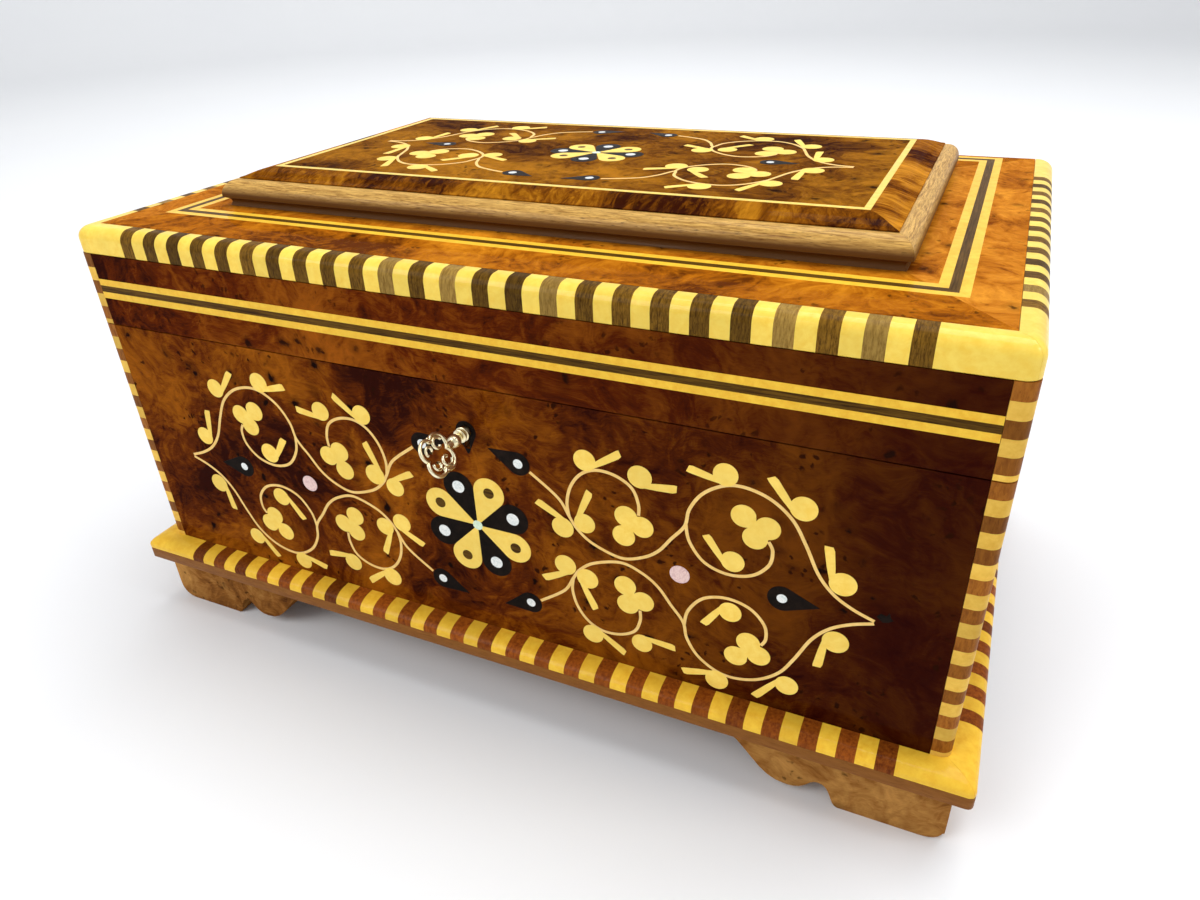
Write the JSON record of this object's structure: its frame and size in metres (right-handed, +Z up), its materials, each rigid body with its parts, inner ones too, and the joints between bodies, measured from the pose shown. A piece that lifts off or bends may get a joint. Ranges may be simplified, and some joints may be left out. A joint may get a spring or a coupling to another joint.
{
  "type": "wind-up music box",
  "caption": "Wind-up music box: burl-veneered lidded case on bracket feet with striped banding, raised lid panel, lock with key, and a clockwork comb movement under glass.",
  "frame": {"origin": "on the table, under the middle of the whole object with the key in its lock", "axes": "+X along the width, +Z up, the front with the keyhole faces -Y"},
  "size_m": [0.3158, 0.2144, 0.1693],
  "materials": {
    "burl": "glossy lacquer over burl veneer",
    "lemonwood": "lacquered yellow wood striped with dark wood",
    "walnut": "satin, open grain",
    "plain_wood": "thin satin varnish",
    "velvet": "short pile",
    "glass": "clear pane",
    "brass": "polished",
    "steel": "bright",
    "cast_metal": "matt casting"
  },
  "bodies": {
    "case": {"back_wall": "burl", "base_band_back": "lemonwood", "base_band_front": "lemonwood", "base_band_left": "lemonwood", "base_band_right": "lemonwood", "bedplate": "cast_metal", "bottom_board": "plain_wood", "case_post_back_left": "lemonwood", "case_post_back_right": "lemonwood", "case_post_front_left": "lemonwood", "case_post_front_right": "lemonwood", "comb": "steel", "compartment_lining": "velvet", "cover_glass": "glass", "foot_back_left": "burl", "foot_back_right": "burl", "foot_front_left": "burl", "foot_front_right": "burl", "front_wall": "burl", "glass_ledge": "plain_wood", "governor_bracket": "brass", "hinge_case_leaf_left": "brass", "hinge_case_leaf_right": "brass", "left_wall": "burl", "lock_case": "brass", "partition": "plain_wood", "plinth_board": "plain_wood", "right_wall": "burl"},
    "lid": {"hinge_lid_leaf_left": "brass", "hinge_lid_leaf_right": "brass", "lid_back_rail": "burl", "lid_band_front": "lemonwood", "lid_band_left": "lemonwood", "lid_band_right": "lemonwood", "lid_front_rail": "burl", "lid_left_rail": "burl", "lid_lining": "velvet", "lid_post_back_left": "lemonwood", "lid_post_back_right": "lemonwood", "lid_post_front_left": "lemonwood", "lid_post_front_right": "lemonwood", "lid_right_rail": "burl", "lid_top": "burl", "lock_strike": "brass", "moulding_back": "walnut", "moulding_front": "walnut", "moulding_left": "walnut", "moulding_right": "walnut", "raised_panel": "burl"},
    "lock_bolt": {"lock_bolt": "brass"},
    "lock_follower": {"lock_follower": "brass"},
    "key": {"key": "brass"},
    "spring_barrel": {"spring_barrel": "brass"},
    "cylinder": {"cylinder": "brass"},
    "governor_wheel": {"governor_wheel": "brass"},
    "governor_fan": {"governor_fan": "brass"},
    "winding_key": {"winding_key": "steel"},
    "stop_lever": {"stop_lever": "steel"}
  },
  "joints": [
    {"name": "lid_hinge", "type": "hinge", "parent": "case", "child": "lid", "pos_m": [0, 0.10165, 0.123], "axis": [-1, 0, 0], "range_deg": [0, 100]},
    {"name": "stop_lever_slide", "type": "slide", "parent": "case", "child": "stop_lever", "axis": [0, 0, 1], "range_m": [0, 0.0031]},
    {"name": "key_turn", "type": "hinge", "parent": "case", "child": "lock_follower", "pos_m": [0, -0.07915, 0.1078], "axis": [0, 1, 0], "range_deg": [0, 101]},
    {"name": "bolt_slide", "type": "slide", "parent": "case", "child": "lock_bolt", "axis": [1, 0, 0], "range_m": [0, 0.005]},
    {"name": "key_pull", "type": "slide", "parent": "lock_follower", "child": "key", "axis": [0, -1, 0], "range_m": [0, 0.03]},
    {"name": "barrel_spin", "type": "hinge", "parent": "case", "child": "spring_barrel", "pos_m": [-0.12, 0.00285, 0.038], "axis": [0, 0, 1], "continuous": true},
    {"name": "cylinder_spin", "type": "hinge", "parent": "case", "child": "cylinder", "pos_m": [-0.09, 0.00285, 0.04568], "axis": [1, 0, 0], "continuous": true},
    {"name": "governor_wheel_spin", "type": "hinge", "parent": "case", "child": "governor_wheel", "pos_m": [-0.074, 0.01285, 0.04568], "axis": [1, 0, 0], "continuous": true},
    {"name": "governor_fan_spin", "type": "hinge", "parent": "case", "child": "governor_fan", "pos_m": [-0.0741, 0.02025, 0.05], "axis": [0, 0, 1], "continuous": true},
    {"name": "winding_turn", "type": "hinge", "parent": "case", "child": "winding_key", "pos_m": [-0.12, 0.00285, 0.015], "axis": [0, 0, 1], "continuous": true}
  ],
  "couplings": [
    {"joint": "stop_lever_slide", "follows": "lid_hinge", "m_per_rad": 0.001719},
    {"joint": "key_turn", "follows": "bolt_slide", "rad_per_m": 349},
    {"joint": "cylinder_spin", "follows": "barrel_spin", "ratio": 4},
    {"joint": "governor_wheel_spin", "follows": "barrel_spin", "ratio": -16},
    {"joint": "governor_fan_spin", "follows": "barrel_spin", "ratio": 96}
  ]
}
